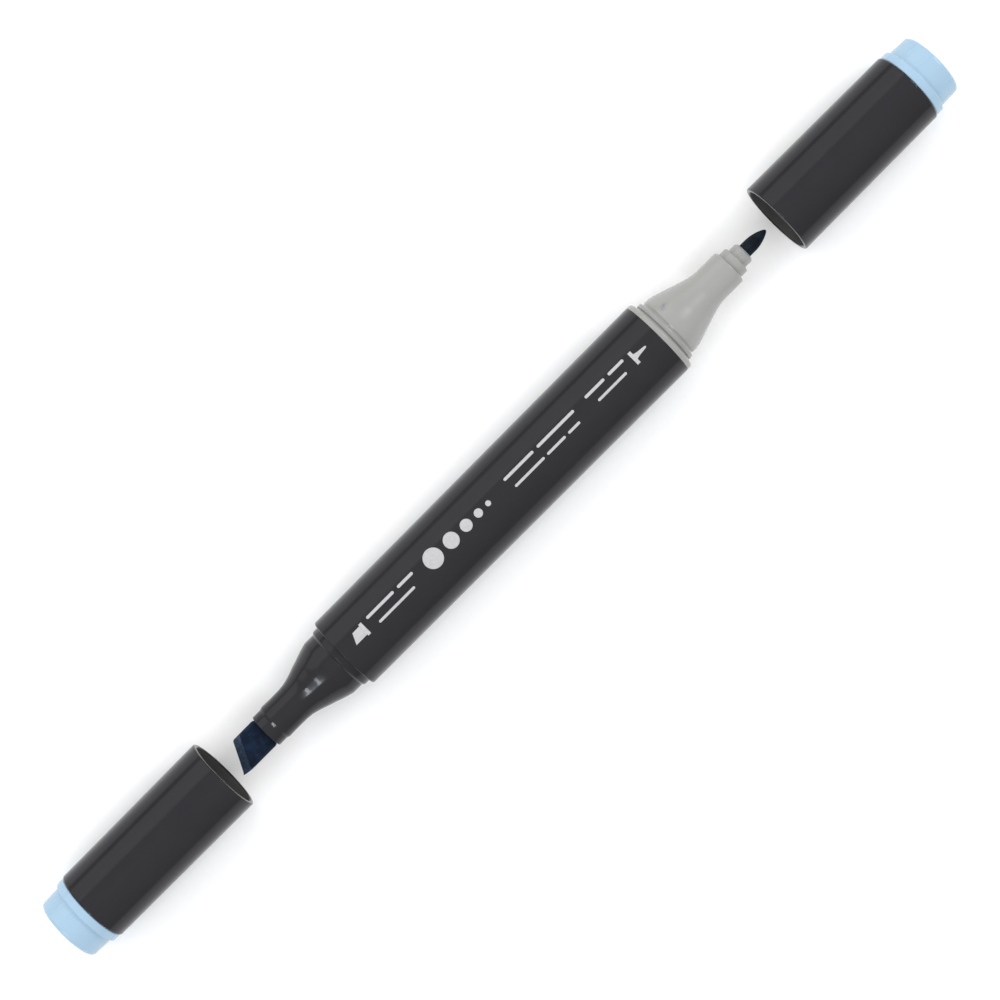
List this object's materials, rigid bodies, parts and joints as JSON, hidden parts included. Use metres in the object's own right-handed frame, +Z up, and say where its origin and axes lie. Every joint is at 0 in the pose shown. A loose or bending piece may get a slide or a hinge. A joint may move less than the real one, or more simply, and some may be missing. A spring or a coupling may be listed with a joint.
{
  "type": "felt tip marker",
  "caption": "Double-ended felt tip marker with a chisel nib on one end, a fine nib on the other, and a slip-on cap drawn straight off each end.",
  "frame": {"origin": "midway between the outer ends of the two drawn-off caps, on the surface that the barrel lies on", "axes": "+X along the barrel towards the fine nib, +Y across the width of the chisel nib towards its short corner, +Z up from the surface"},
  "size_m": [0.2058, 0.0146, 0.0146],
  "materials": {
    "dark_grey_plastic": "semi-gloss moulded",
    "light_grey_plastic": "satin moulded",
    "sky_blue_plastic": "semi-gloss moulded",
    "natural_plastic": "satin moulded",
    "navy_felt": "ink-soaked pressed felt",
    "inked_fibre": "ink-soaked fibre bundle",
    "film": "thin film"
  },
  "bodies": {
    "marker": {"barrel_tube": "dark_grey_plastic", "chisel_nozzle": "dark_grey_plastic", "chisel_nib": "navy_felt", "fine_nozzle": "light_grey_plastic", "fine_nib_holder": "light_grey_plastic", "fine_nib": "navy_felt", "reservoir_core": "inked_fibre", "reservoir_film": "film"},
    "chisel_cap": {"chisel_cap_sleeve": "dark_grey_plastic", "chisel_cap_plug": "sky_blue_plastic", "chisel_cap_inner_cup": "natural_plastic"},
    "fine_cap": {"fine_cap_sleeve": "dark_grey_plastic", "fine_cap_plug": "sky_blue_plastic", "fine_cap_inner_cup": "natural_plastic"}
  },
  "joints": [
    {"name": "chisel_cap_slide", "type": "slide", "parent": "marker", "child": "chisel_cap", "axis": [1, 0, 0], "range_m": [0, 0.02853]},
    {"name": "fine_cap_slide", "type": "slide", "parent": "marker", "child": "fine_cap", "axis": [-1, 0, 0], "range_m": [0, 0.02727]}
  ]
}
